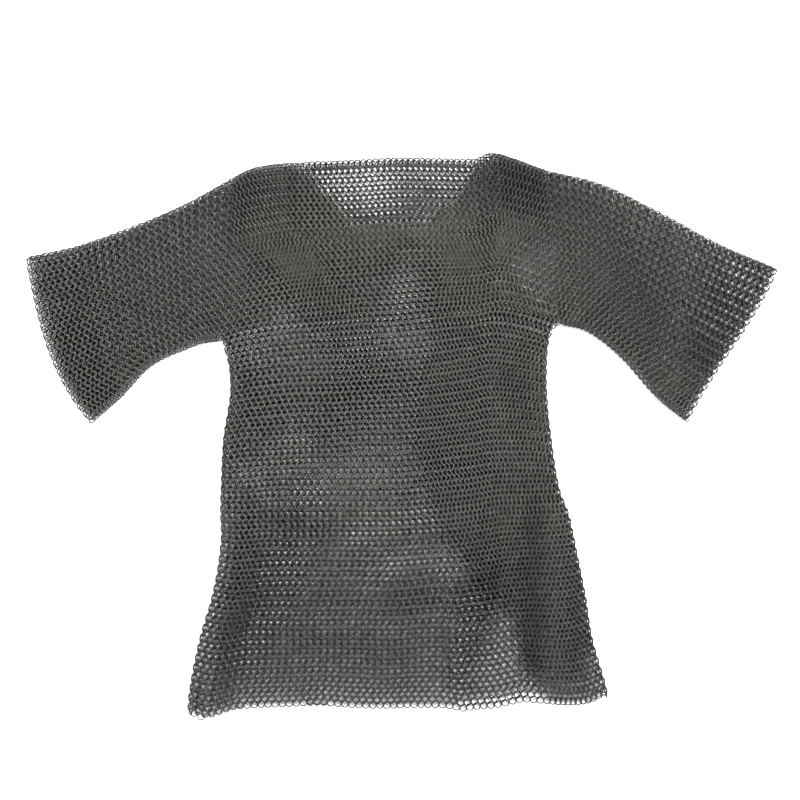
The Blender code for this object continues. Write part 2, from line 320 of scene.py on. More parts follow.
class MailStageSettings(bpy.types.PropertyGroup):
    """Floor, lamps and camera."""

    floor: FloatVectorProperty(name="Floor colour", description="Colour of the floor",
                               subtype="COLOR", size=3, default=(0.93, 0.93, 0.925))
    key_power: FloatProperty(name="Key light", description="Power of the far lamp over the right shoulder",
                             default=580, min=0, unit="POWER")
    neck_power: FloatProperty(name="Neck light", description="Power of the soft lamp past the neck",
                              default=300, min=0, unit="POWER")
    hem_power: FloatProperty(name="Hem light", description="Power of the soft lamp past the hem",
                             default=240, min=0, unit="POWER")
    side_power: FloatProperty(name="Side lights", description="Power of each soft lamp past a sleeve",
                              default=170, min=0, unit="POWER")
    sky: FloatProperty(name="Sky", description="Strength of the pale surroundings", default=0.02,
                       min=0)
    camera_height: FloatProperty(name="Camera height", description="Camera above the floor",
                                 default=3.2, min=1, unit="LENGTH")


# ---------------------------------------------------------------- plan of the cloth
def smooth(table, place, column):
    """Values of a column at places along a table's first column, on a smooth curve."""
    rows = np.asarray(table)
    knots, values = rows[:, 0], rows[:, column]
    slopes = np.empty(len(knots))
    slopes[1:-1] = (values[2:] - values[:-2]) / (knots[2:] - knots[:-2])
    slopes[0] = (values[1] - values[0]) / (knots[1] - knots[0])
    slopes[-1] = (values[-1] - values[-2]) / (knots[-1] - knots[-2])
    i = np.clip(np.searchsorted(knots, place) - 1, 0, len(knots) - 2)
    span = knots[i + 1] - knots[i]
    u = np.clip((place - knots[i]) / span, 0.0, 1.0)
    return ((2 * u**3 - 3 * u**2 + 1) * values[i] + (u**3 - 2 * u**2 + u) * span * slopes[i]
            + (3 * u**2 - 2 * u**3) * values[i + 1] + (u**3 - u**2) * span * slopes[i + 1])


def ease(x):
    """0 below 0, 1 above 1, and a smooth rise between."""
    x = np.clip(x, 0.0, 1.0)
    return x * x * (3 - 2 * x)


def across(u, t):
    """Places across a body panel, as shares of its width, of links counted by the share u."""
    u, t = np.broadcast_arrays(np.asarray(u, float), np.asarray(t, float))
    places = np.linspace(0.0, 1.0, WIDTH_STEPS)
    result = np.empty(u.shape)
    for row in np.unique(t):
        crowd = np.ones(WIDTH_STEPS)
        for table in GATHERS:
            start, end, closer = (smooth(table, row, column) for column in (1, 2, 3))
            crowd += closer * ease((places - start) / GATHER_EDGE) * ease((end - places) / GATHER_EDGE)
        counted = np.concatenate([[0.0], np.cumsum((crowd[1:] + crowd[:-1]) / 2)])
        counted /= counted[-1]
        chosen = t == row
        inside = np.interp(u[chosen], counted, places)
        past = u[chosen] - np.clip(u[chosen], 0.0, 1.0)
        result[chosen] = inside + past
    return result


class Cut:
    """Plan of the shirt for one count of rows and links."""

    def __init__(self, settings):
        self.links = settings
        self.radius = (settings.bore + settings.wire) / 2
        self.rows = settings.rows_to_armpit + settings.rows_armhole
        self.armpit = settings.rows_to_armpit / self.rows
        self.fold_height = self.radius + settings.wire / 2
        self.row_count = self.rows + SPARE_ROWS

    def row_place(self, row):
        """Share of the way from the hem's edge to the top edge at which a row lies."""
        return (row + FIRST_ROW) / self.row_count

    def side(self, t, column, sleeve, room=SIDE_ROOM):
        """Points on one side of the body, from the hem's corner to the shoulder, room inside it."""
        shoulder_x, shoulder_y, armpit_x, armpit_y = sleeve[0]
        corner = HEM[0] if column == 1 else HEM[-1]
        height = corner[1] + (armpit_y - corner[1]) * np.minimum(t / self.armpit, 1.0)
        up = np.clip((t - self.armpit) / (1 - self.armpit), 0.0, 1.0)
        below = smooth(BODY_SIDES, height, column)
        inset = room * ease((self.armpit - t) / SIDE_ROOM_FADE) * (1 if column == 1 else -1)
        x = np.where(t < self.armpit, below + inset, armpit_x + (shoulder_x - armpit_x) * up)
        y = np.where(t < self.armpit, height, armpit_y + (shoulder_y - armpit_y) * up)
        return x, y

    def body(self, u, t):
        """Plan points of a body panel: u counts links from left to right, t runs up the rows."""
        s = across(u, t)
        left_x, left_y = self.side(t, 1, SLEEVES["left"])
        right_x, right_y = self.side(t, 2, SLEEVES["right"])
        x = left_x + (right_x - left_x) * s
        late = ease((s - LEVEL_FROM) / (1 - LEVEL_FROM))
        climb = s + (late - s) * (1 - ease((t - EVEN_ROWS[0]) / EVEN_ROWS[1]))
        y = left_y + (right_y - left_y) * climb
        way_off = np.where(s < ARCH_TOP, (ARCH_TOP - s) / ARCH_TOP, (s - ARCH_TOP) / (1 - ARCH_TOP))
        y = y + smooth(ARCH, t, 1) * (1 - np.clip(way_off, 0, 1) ** 2)
        hem_across = HEM[0][0] + (HEM[-1][0] - HEM[0][0]) * s
        top_across = TOP[0][0] + (TOP[-1][0] - TOP[0][0]) * s
        hem_line = HEM[0][1] + (HEM[-1][1] - HEM[0][1]) * s
        top_line = TOP[0][1] + (TOP[-1][1] - TOP[0][1]) * s
        y = y + (smooth(HEM, hem_across, 1) - hem_line) * (1 - t) ** HEM_FADE
        y = y + (smooth(TOP, top_across, 1) - top_line) * t**TOP_FADE
        return x, y

    def sleeve(self, side, along, t):
        """Plan points of a sleeve: along runs from armhole to cuff, t goes on from the body's rows."""
        table = SLEEVES[side]
        stations = [(i / (len(table) - 1), *row) for i, row in enumerate(table)]
        up = (t - self.armpit) / (1 - self.armpit)
        along = (along + CUFF_CLOSER * (along - along**3)) * (1 - FOLD_ROOM / SLEEVE_REACH)
        top_x, top_y = smooth(stations, along, 1), smooth(stations, along, 2)
        under_x, under_y = smooth(stations, along, 3), smooth(stations, along, 4)
        depth = np.hypot(top_x - under_x, top_y - under_y)
        inset = FOLD_ROOM / depth * ease(along / ROOM_FADE)
        up = inset + (1 - inset) * up
        cuff_x = table[-1][0] - table[-1][2]
        cuff_y = table[-1][1] - table[-1][3]
        length = np.hypot(cuff_x, cuff_y)
        sign = -1 if side == "left" else 1
        bow = CUFF_BOW[side]
        bulge = (bow[0] * up + bow[1] * (1 - up)) * 4 * up * (1 - up) * along**2
        x = under_x + (top_x - under_x) * up + sign * abs(cuff_y) / length * bulge
        y = under_y + (top_y - under_y) * up - abs(cuff_x) / length * bulge
        return x, y


def waver(x, y, side_share):
    """Slow unevenness of the rows: plan points moved sideways and up by a few millimetres."""
    fade = ease(side_share / WAVER_FADE)

    def shift(start):
        """Noise at each plan point, read from another start for each direction."""
        points = zip(x.ravel(), y.ravel())
        values = [noise((px * WAVER_SCALE + start, py * WAVER_SCALE, WAVER_LAYER)) for px, py in points]
        return np.array(values).reshape(x.shape)

    return x + WAVER * fade * shift(0.0), y + WAVER * fade * shift(37.0)


def folds(x, y):
    """Rise of the soft folds at plan points, with the troughs below zero."""
    height = np.zeros(np.shape(x))
    for x0, y0, x1, y1, bow, half_width, rise in FOLDS:
        length = np.hypot(x1 - x0, y1 - y0)
        ahead_x, ahead_y = (x1 - x0) / length, (y1 - y0) / length
        share = ((x - x0) * ahead_x + (y - y0) * ahead_y) / length
        inside = np.clip(share, 0, 1)
        sideways = (y - y0) * ahead_x - (x - x0) * ahead_y - bow * 4 * inside * (1 - inside)
        reach = np.clip(np.abs(sideways) / (2 * half_width), 0, 1)
        height = height + rise * (1 - reach**2) ** 2 * np.minimum(1.0, FOLD_FADE * np.sin(pi * inside))
    return height


def relief(x, y, side_share):
    """Height of the front panel at plan points above its lowest place."""
    crown = FRONT_CROWN * np.sin(pi / 2 * np.clip(side_share / CROWN_EDGE, 0, 1))
    return np.maximum(crown + folds(x, y), 0.0)


def shade(x, y):
    """Share of the crown brightness that painted shade takes away, in the folds and where the mail lies
    out of the light.
    """
    dark = np.zeros(np.shape(x))
    for x0, y0, x1, y1, half_width, share in PAINTED_SHADE_BANDS:
        length_squared = (x1 - x0) ** 2 + (y1 - y0) ** 2
        along = np.clip(((x - x0) * (x1 - x0) + (y - y0) * (y1 - y0)) / length_squared, 0, 1)
        away = np.hypot(x - x0 - along * (x1 - x0), y - y0 - along * (y1 - y0))
        dark = 1 - (1 - dark) * (1 - share * (1 - ease(away / half_width)))
    return dark


# ---------------------------------------------------------------- places of the rings
class Places:
    """Places, directions and leans of the rings of one piece."""

    def __init__(self, cut, worn_and_shaded=1.0):
        self.cut = cut
        self.worn_and_shaded = worn_and_shaded
        self.parts = []
        self.spans = []

    def add(self, surface, u, t, way, count, upper=False, edge=1.0):
        """Lay rings on a surface(u, t) -> (x, y, z), where z is the rise of a fold.

        way is +1 or -1, the way that the row leans, and edge makes an edge row lean less.
        count is the number of links in the row: rings lean more where links are close.
        upper lays them on a layer like their own.
        """
        links = self.cut.links
        u = np.asarray(u, float)
        t = np.broadcast_to(np.asarray(t, float), u.shape)
        centre = np.stack(surface(u, t), -1)
        row_way = np.stack(surface(u + TINY, t), -1) - np.stack(surface(u - TINY, t), -1)
        up_way = np.stack(surface(u, t + TINY), -1) - np.stack(surface(u, t - TINY), -1)
        pitch = np.linalg.norm(row_way, axis=-1) / (2 * TINY * count)
        row_pitch = np.linalg.norm(up_way, axis=-1) / (2 * TINY * self.cut.row_count)
        flat_pitch = np.maximum(pitch, EVEN_PITCH)
        self.spans.append((flat_pitch.mean() * count, row_pitch.mean()))
        row_way /= np.linalg.norm(row_way, axis=-1, keepdims=True)
        face_way = np.cross(row_way, up_way)
        cell = flat_pitch * np.linalg.norm(face_way, axis=-1) / (2 * TINY * self.cut.row_count)
        face_way /= np.linalg.norm(face_way, axis=-1, keepdims=True)
        close = ease((WIDE_PITCH - pitch) / (WIDE_PITCH - CLOSE_PITCH))
        lean = (links.lean + (links.tight_lean - links.lean) * close) * edge
        thickness = 2 * self.cut.radius * np.sin(lean) + links.wire
        centre[:, 2] += thickness / 2 + upper * (thickness + SEAM_GAP)
        self.note(centre, row_way, face_way, way * lean, cell)

    def note(self, centre, row_way, face_way, lean, cell):
        """Keep the rings of one row, with their rubbed brightness, painted shade and painted highlight,
        and the cloth that each one covers.
        """
        x, y = centre[:, 0], centre[:, 1]
        # Painted shade bands darken the rings, and fold ridges gain painted highlight while troughs get
        # painted shade.
        worn_and_shaded = self.worn_and_shaded * (1 - shade(x, y)) * (1 + FOLD_WEAR_AND_SHADE * folds(x, y))
        self.parts.append((centre, row_way, face_way, lean, worn_and_shaded, cell))

    def fold(self, centre, outward, along, over, lean, crosses):
        """Set rings on a fold.

        over is the angle past flat, so that 90 degrees is on edge. crosses tells whether the
        rows cross the fold line, as on the side folds, or run beside it, as on the tops.
        """
        down = np.array((0.0, 0.0, -1.0))
        over = np.broadcast_to(np.asarray(over, float), len(centre))[:, None]
        turned = outward * np.cos(over) + down * np.sin(over)
        face_way = outward * np.sin(over) - down * np.cos(over)
        row_way = turned if crosses else along
        lean = np.broadcast_to(np.asarray(lean, float), len(centre))
        typical = np.mean(np.concatenate([part[5] for part in self.parts]))
        self.note(centre, row_way, face_way, lean, np.full(len(centre), typical))

    def keep(self, wanted):
        """Drop the rings of the last part whose centres are not wanted(x, y)."""
        row = self.parts.pop()
        mask = wanted(row[0][:, 0], row[0][:, 1])
        self.parts.append(tuple(values[mask] for values in row))

    def cloth(self):
        """Flat size of the mail: along its rows and across them, and the area of its cut."""
        along = max(row for row, _ in self.spans)
        over = sum(rise for _, rise in self.spans)
        return (float(along), float(over)), float(sum(part[5].sum() for part in self.parts))

    def mesh(self, name):
        """Loose points, one for each ring, that carry its directions, lean, and rubbed brightness with
        painted shade and highlight.
        """
        centre, row_way, face_way, lean, worn_and_shaded, _ = (np.concatenate(a) for a in zip(*self.parts))
        centre = centre - np.array((0.0, MIDDLE, 0.0))
        mesh = bpy.data.meshes.new(name)
        mesh.vertices.add(len(centre))
        mesh.vertices.foreach_set("co", centre.astype(np.float32).ravel())
        for label, values in (("row_way", row_way), ("face_way", face_way)):
            layer = mesh.attributes.new(label, "FLOAT_VECTOR", "POINT")
            layer.data.foreach_set("vector", values.astype(np.float32).ravel())
        for label, values in (("lean", lean), ("worn_and_shaded", worn_and_shaded)):
            layer = mesh.attributes.new(label, "FLOAT", "POINT")
            layer.data.foreach_set("value", values.astype(np.float32))
        mesh.update()
        return mesh


def row_steps(row, count):
    """Link places along a row of a body panel: every other row is half a link further on."""
    return (np.arange(count) + 0.5) / count if row % 2 == 0 else np.arange(count + 1) / count


def sleeve_steps(row, count):
    """Link places along a row of a sleeve, whose first place on the armhole the body has."""
    return (np.arange(count) + (0.5 if row % 2 == 0 else 1.0)) / count


def row_way_sign(row):
    """Every other row leans the other way."""
    return 1 if row % 2 == 0 else -1


def plan_frame(line, at):
    """Points of a plan line(at) with its direction and its left-hand normal, as 3-D vectors."""
    x, y = line(at)
    ahead = np.stack(line(at + TINY), -1) - np.stack(line(at - TINY), -1)
    ahead /= np.linalg.norm(ahead, axis=-1, keepdims=True)
    flat = np.zeros(len(at))
    return (np.stack((x, y, flat), -1), np.stack((ahead[:, 0], ahead[:, 1], flat), -1),
            np.stack((-ahead[:, 1], ahead[:, 0], flat), -1))


# ---------------------------------------------------------------- geometry nodes
def add_node(tree, kind, inputs=(), **settings):
    """Add a node, set its properties, and link or set its inputs."""
    made = tree.nodes.new(kind)
    for key, value in settings.items():
        setattr(made, key, value)
    for key, value in dict(inputs).items():
        socket = made.inputs[key]
        if isinstance(value, bpy.types.NodeSocket):
            tree.links.new(value, socket)
        else:
            socket.default_value = value
    return made


def named(tree, label, kind):
    """Read a named attribute."""
    made = add_node(tree, "GeometryNodeInputNamedAttribute", {"Name": label}, data_type=kind)
    return made.outputs["Attribute"]


def link_tree():
    """Geometry Nodes group that sets one wire ring on each point and leans it."""
    tree = bpy.data.node_groups.new("Mail links", "GeometryNodeTree")
    face = tree.interface
    face.new_socket("Geometry", in_out="INPUT", socket_type="NodeSocketGeometry")
    for label, kind in (("Ring radius", "Float"), ("Wire radius", "Float"), ("Unevenness", "Float"),
                        ("Ring sides", "Int"), ("Wire sides", "Int"), ("Seed", "Int"),
                        ("Steel", "Material")):
        face.new_socket(label, in_out="INPUT", socket_type=f"NodeSocket{kind}")
    face.new_socket("Geometry", in_out="OUTPUT", socket_type="NodeSocketGeometry")
    given = tree.nodes.new("NodeGroupInput").outputs

    ring = add_node(tree, "GeometryNodeCurvePrimitiveCircle",
                    {"Resolution": given["Ring sides"], "Radius": given["Ring radius"]})
    profile = add_node(tree, "GeometryNodeCurvePrimitiveCircle",
                       {"Resolution": given["Wire sides"], "Radius": given["Wire radius"]})
    turned = add_node(tree, "GeometryNodeTransform",
                      {"Geometry": profile.outputs["Curve"], "Rotation": (0, 0, PROFILE_TURN)})
    wire = add_node(tree, "GeometryNodeCurveToMesh",
                    {"Curve": ring.outputs["Curve"], "Profile Curve": turned.outputs["Geometry"]})
    place = add_node(tree, "GeometryNodeInputPosition").outputs["Position"]
    soft = add_node(tree, "GeometryNodeSetShadeSmooth", {"Geometry": wire.outputs["Mesh"]})

    flat = add_node(tree, "FunctionNodeAxesToRotation",
                    {"Primary Axis": named(tree, "face_way", "FLOAT_VECTOR"),
                     "Secondary Axis": named(tree, "row_way", "FLOAT_VECTOR")},
                    primary_axis="Z", secondary_axis="X")
    leaning = add_node(tree, "FunctionNodeAxisAngleToRotation",
                       {"Axis": (0, 1, 0), "Angle": named(tree, "lean", "FLOAT")})
    leant = add_node(tree, "FunctionNodeRotateRotation",
                     {"Rotation": flat.outputs["Rotation"], "Rotate By": leaning.outputs["Rotation"]},
                     rotation_space="LOCAL")
    minus = add_node(tree, "ShaderNodeMath", {0: given["Unevenness"], 1: -1.0}, operation="MULTIPLY")
    low = add_node(tree, "ShaderNodeCombineXYZ", {"X": minus.outputs[0], "Y": minus.outputs[0]})
    high = add_node(tree, "ShaderNodeCombineXYZ",
                    {"X": given["Unevenness"], "Y": given["Unevenness"], "Z": 2 * pi})
    chance = add_node(tree, "FunctionNodeRandomValue",
                      {0: low.outputs[0], 1: high.outputs[0], "Seed": given["Seed"]},
                      data_type="FLOAT_VECTOR")
    jolt = add_node(tree, "FunctionNodeEulerToRotation", {"Euler": chance.outputs[0]})
    turn = add_node(tree, "FunctionNodeRotateRotation",
                    {"Rotation": leant.outputs["Rotation"], "Rotate By": jolt.outputs["Rotation"]},
                    rotation_space="LOCAL")

    seed_two = add_node(tree, "ShaderNodeMath", {0: given["Seed"], 1: 1.0}, operation="ADD")
    tone = add_node(tree, "FunctionNodeRandomValue", {"Seed": seed_two.outputs[0]}, data_type="FLOAT")
    toned = add_node(tree, "GeometryNodeStoreNamedAttribute",
                     {"Geometry": given["Geometry"], "Name": "tone", "Value": tone.outputs[1]},
                     data_type="FLOAT", domain="POINT")
    placed = add_node(tree, "GeometryNodeStoreNamedAttribute",
                      {"Geometry": toned.outputs["Geometry"], "Name": "place", "Value": place},
                      data_type="FLOAT_VECTOR", domain="POINT")
    rings = add_node(tree, "GeometryNodeInstanceOnPoints",
                     {"Points": placed.outputs["Geometry"], "Instance": soft.outputs["Geometry"],
                      "Rotation": turn.outputs["Rotation"]})
    real = add_node(tree, "GeometryNodeRealizeInstances", {"Geometry": rings.outputs["Instances"]})

    away = add_node(tree, "ShaderNodeVectorMath", {0: place, 1: named(tree, "place", "FLOAT_VECTOR")},
                    operation="SUBTRACT")
    height = add_node(tree, "ShaderNodeVectorMath",
                      {0: away.outputs[0], 1: named(tree, "face_way", "FLOAT_VECTOR")},
                      operation="DOT_PRODUCT")
    rise = add_node(tree, "ShaderNodeMath", {0: height.outputs["Value"], 1: given["Ring radius"]},
                    operation="DIVIDE")
    risen = add_node(tree, "GeometryNodeStoreNamedAttribute",
                     {"Geometry": real.outputs["Geometry"], "Name": "rise", "Value": rise.outputs[0]},
                     data_type="FLOAT", domain="POINT")
    geometry = risen.outputs["Geometry"]
    for label in ("place", "row_way", "face_way", "lean"):
        geometry = add_node(tree, "GeometryNodeRemoveAttribute",
                            {"Geometry": geometry, "Name": label}).outputs["Geometry"]
    clad = add_node(tree, "GeometryNodeSetMaterial", {"Geometry": geometry, "Material": given["Steel"]})
    out = tree.nodes.new("NodeGroupOutput")
    tree.links.new(clad.outputs["Geometry"], out.inputs["Geometry"])
    return tree


def forge(name, places, steel, node):
    """Make the rings of one piece and hang them on the shirt; the cut of the mail is worked out but not
    stated.
    """
    links = bpy.context.scene.mail_links
    tree = bpy.data.node_groups.get("Mail links") or link_tree()
    points = bpy.data.objects.new(f"{name}_places", places.mesh(f"{name}_places"))
    bpy.context.scene.collection.objects.link(points)
    knit = points.modifiers.new("Links", "NODES")
    knit.node_group = tree
    values = {"Ring radius": places.cut.radius, "Wire radius": links.wire / 2 * WIRE_FULLNESS,
              "Unevenness": links.unevenness, "Ring sides": links.ring_sides,
              "Wire sides": links.wire_sides, "Seed": links.seed, "Steel": steel}
    for item in tree.interface.items_tree:
        if item.in_out == "INPUT" and item.name in values:
            knit[item.identifier] = values[item.name]
    graph = bpy.context.evaluated_depsgraph_get()
    mesh = bpy.data.meshes.new_from_object(points.evaluated_get(graph))
    mesh.name = name
    bpy.data.objects.remove(points)
    piece = bpy.data.objects.new(name, mesh)
    bpy.context.scene.collection.objects.link(piece)
    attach(piece, "root")
    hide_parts(node)
    flat, area = places.cloth()


# ---------------------------------------------------------------- steel
WEAR_AND_HIGHLIGHT_RISE = (-0.90, 0.30)       # the crown colour grows between these heights on a ring, in ring radii: rubbed steel and painted highlight up high, blackened steel and painted shade low down
RING_SPREAD = (0.5, 0.75)       # share of wear from ring to ring: width of the spread, least
MOTTLE_SPREAD = (0.8, 0.6)      # the same for the mottle along the wire
MOTTLE_SCALE = 900.0            # mottles in one metre, roughly
CROWN_CHANGE = (-0.45, -0.15)   # the low crown colour gives way here, up from the shirt's middle
ROUGH_SPREAD = 0.1              # roughness strays this far either side of its middle
MIX_COLOURS = (6, 7)            # sockets of a mix node for its two colours
MIX_RESULT = 2                  # and for the mixed colour


def blackened_steel():
    """Blackened steel wire: dark in the depths and bright on the crowns, partly blackening and rubbing,
    partly painted shade and painted highlight; darker still where the rings carry painted shade.
    """
    made = bpy.data.materials.get("Blackened steel wire")
    if made:
        return made
    look = bpy.context.scene.mail_steel
    made = bpy.data.materials.new("Blackened steel wire")
    made.use_nodes = True
    tree = made.node_tree
    shader = tree.nodes["Principled BSDF"]
    shader.inputs["Metallic"].default_value = look.metallic

    def attribute(label):
        return add_node(tree, "ShaderNodeAttribute", attribute_name=label).outputs["Fac"]

    def times(a, b):
        return add_node(tree, "ShaderNodeMath", {0: a, 1: b}, operation="MULTIPLY").outputs[0]

    def times_plus(a, factor, more):
        return add_node(tree, "ShaderNodeMath", {0: a, 1: factor, 2: more},
                        operation="MULTIPLY_ADD").outputs[0]

    def mix(share, low, high):
        inputs = {"Factor": share, MIX_COLOURS[0]: low, MIX_COLOURS[1]: high}
        return add_node(tree, "ShaderNodeMix", inputs, data_type="RGBA").outputs[MIX_RESULT]

    coords = add_node(tree, "ShaderNodeTexCoord").outputs["Object"]
    mottle = add_node(tree, "ShaderNodeTexNoise", {"Vector": coords, "Scale": MOTTLE_SCALE, "Detail": 3.0})

    # Crowns lighter and undersides darker: partly rubbed and blackened steel, partly painted highlight and
    # painted shade.
    crown_wear_and_highlight = add_node(tree, "ShaderNodeMapRange",
                          {"Value": attribute("rise"), "From Min": WEAR_AND_HIGHLIGHT_RISE[0], "From Max": WEAR_AND_HIGHLIGHT_RISE[1]})
    wear_and_light = times(crown_wear_and_highlight.outputs[0], times_plus(attribute("tone"), *RING_SPREAD))
    wear_and_light = times(wear_and_light, attribute("worn_and_shaded"))
    wear_and_light = times(wear_and_light, times_plus(mottle.outputs["Fac"], *MOTTLE_SPREAD))
    up = add_node(tree, "ShaderNodeSeparateXYZ", {"Vector": coords}).outputs["Y"]
    high = add_node(tree, "ShaderNodeMapRange",
                    {"Value": up, "From Min": CROWN_CHANGE[0], "From Max": CROWN_CHANGE[1]})
    crown = mix(high.outputs[0], (*look.low_crown, 1), (*look.crown, 1))
    tree.links.new(mix(wear_and_light, (*look.recess, 1), crown), shader.inputs["Base Color"])
    rough = add_node(tree, "ShaderNodeMapRange",
                     {"Value": mottle.outputs["Fac"], "From Min": 0.3, "From Max": 0.7,
                      "To Min": look.roughness + ROUGH_SPREAD, "To Max": look.roughness - ROUGH_SPREAD})
    tree.links.new(rough.outputs[0], shader.inputs["Roughness"])
    return made


# ---------------------------------------------------------------- pieces
BAND = 56                       # row at which each body panel is split into two pieces
BODY_STEP = 0.50                # the under layer lies this share of a row higher than the upper one
SLEEVE_STEP = {"left": 0.45, "right": 0.70}     # and this share in each sleeve
HEM_ROOM = 0.0045               # least room from the front's bottom edge to its rings' middles
NECK_ROOM = 0.6                 # rings' middles stay this share of their radius off the neck
HEM_LEAN = 0.5                  # the back's lowest rings lean this share of the usual
TOP_LEAN = 0.5                  # so do the rings of its top row
FOLD_LEAN = 0.6                 # and this share on a sleeve's folds
SIDE_TURN = radians(78)         # how far over the rings of a side fold stand
OPEN_TURN = radians(48)         # and low on the left, on the shoulders and in a sleeve top's inner row
OPEN_SHARE = (0.25, 0.20)       # the left fold closes over these shares of the rows: start, length
SIDE_TILT = radians(16)         # how far the rings of a side fold lean
FOLD_GAP = 0.0012               # between the outline and the rings of a side fold
NECK_END = 0.02                 # over this length the back's top row lies flat again at the neck
TOP_TURN = radians(80)          # how far over the outer row on a sleeve's top stands
UNDERARM_TURN = radians(66)     # and the row on the underarm fold
TOP_ROWS = (1, 0.9)             # taken off the count of rows: a sleeve top's inner and outer row
UNDERARM_ROW = 0.6              # taken off the rows to the armpit: the row on the underarm fold


class MAIL_OT_front(bpy.types.Operator):
    """Link the front panel's rings, with its soft folds and its neck cut-out."""

    bl_idname = "mail.front"
    bl_label = "Front panel"

    def execute(self, context):
        links = context.scene.mail_links
        cut = Cut(links)

        def surface(u, t):
            x, y = cut.body(u, t)
            side = np.minimum(u, 1 - u)
            x, y = waver(x, y, side)
            return x, y, relief(x, y, side)

        def on_the_front(x, y):
            share = (y - NECK_FLOOR) / (NECK_TOP - NECK_FLOOR)
            left = NECK_FLOOR_SIDES[0] + (NECK_TOP_SIDES[0] - NECK_FLOOR_SIDES[0]) * share
            right = NECK_FLOOR_SIDES[1] + (NECK_TOP_SIDES[1] - NECK_FLOOR_SIDES[1]) * share
            edge = cut.radius * NECK_ROOM
            below_neck = share < -edge / (NECK_TOP - NECK_FLOOR)
            outside_neck = below_neck | (x < left - edge) | (x > right + edge)
            return outside_neck & (y > smooth(HEM, x, 2) + HEM_ROOM)

        for name, first, last in (("front_skirt_links", 0, BAND),
                                  ("front_chest_links", BAND, cut.rows - 1)):
            places = Places(cut)
            for row in range(first, last):
                places.add(surface, row_steps(row, links.across), cut.row_place(row),
                           row_way_sign(row), links.across, upper=True)
                places.keep(on_the_front)
            forge(name, places, blackened_steel(), "front_panel")
        return {"FINISHED"}


class MAIL_OT_back(bpy.types.Operator):
    """Link the back panel's rings and the rings of the side folds and shoulders."""

    bl_idname = "mail.back"
    bl_label = "Back panel"

    def execute(self, context):
        links = context.scene.mail_links
        cut = Cut(links)

        def surface(u, t):
            x, y = cut.body(u, t)
            x, y = waver(x, y, np.minimum(u, 1 - u))
            return x, y, np.zeros_like(x)

        # The back is the layer underneath, drawn darker as painted shade.
        worn_and_shaded = context.scene.mail_steel.under_layer_shade
        for name, first, last in (("back_skirt_links", 0, BAND),
                                  ("back_chest_links", BAND, cut.rows - 1)):
            places = Places(cut, worn_and_shaded)
            for row in range(first, last):
                edge = HEM_LEAN if row == 0 else 1.0
                places.add(surface, row_steps(row + 1, links.across), cut.row_place(row + BODY_STEP),
                           row_way_sign(row + 1), links.across, edge=edge)
            self.side_folds(places, range(first, min(last, links.rows_to_armpit)))
            if last == cut.rows - 1:
                self.top_row(places, surface)
            forge(name, places, blackened_steel(), "back_panel")
        return {"FINISHED"}

    @staticmethod
    def side_folds(places, rows):
        """One ring of each row stands on each side fold, more open low on the left."""
        cut = places.cut
        t = np.array([cut.row_place(row) for row in rows])
        way = np.array([row_way_sign(row) for row in rows])
        for column, side, sleeve in ((1, 1, "left"), (2, -1, "right")):
            point, along, left = plan_frame(lambda at: cut.side(at, column, SLEEVES[sleeve], 0.0), t)
            outward = left * side
            over = np.full(len(t), SIDE_TURN)
            if column == 1:
                closed = ease((t - OPEN_SHARE[0]) / OPEN_SHARE[1])
                over = SIDE_TURN - (SIDE_TURN - OPEN_TURN) * (1 - closed)
            inset = cut.radius * np.cos(over) + cut.links.wire / 2 + FOLD_GAP
            centre = point - outward * inset[:, None]
            centre[:, 2] = cut.fold_height
            places.fold(centre, outward, along, over, way * SIDE_TILT, crosses=True)

    @staticmethod
    def top_row(places, surface):
        """The back's top row: open at the neck, and turned over the fold on the shoulders."""
        cut = places.cut
        links = cut.links
        u = row_steps(cut.rows, links.across)
        t = cut.row_place(cut.rows - 1)
        point, along, left = plan_frame(lambda at: surface(at, np.full(len(at), t))[:2], u)
        x = point[:, 0]
        in_neck = ease((x - NECK_TOP_SIDES[0]) / NECK_END) * ease((NECK_TOP_SIDES[1] - x) / NECK_END)
        turned = 1 - in_neck
        lean = links.lean * TOP_LEAN
        flat_height = cut.radius * np.sin(lean) + links.wire / 2
        centre = point.copy()
        centre[:, 2] = flat_height + (cut.fold_height - flat_height) * turned
        lean *= row_way_sign(cut.rows)
        places.fold(centre, left, along, turned * OPEN_TURN, lean, crosses=False)


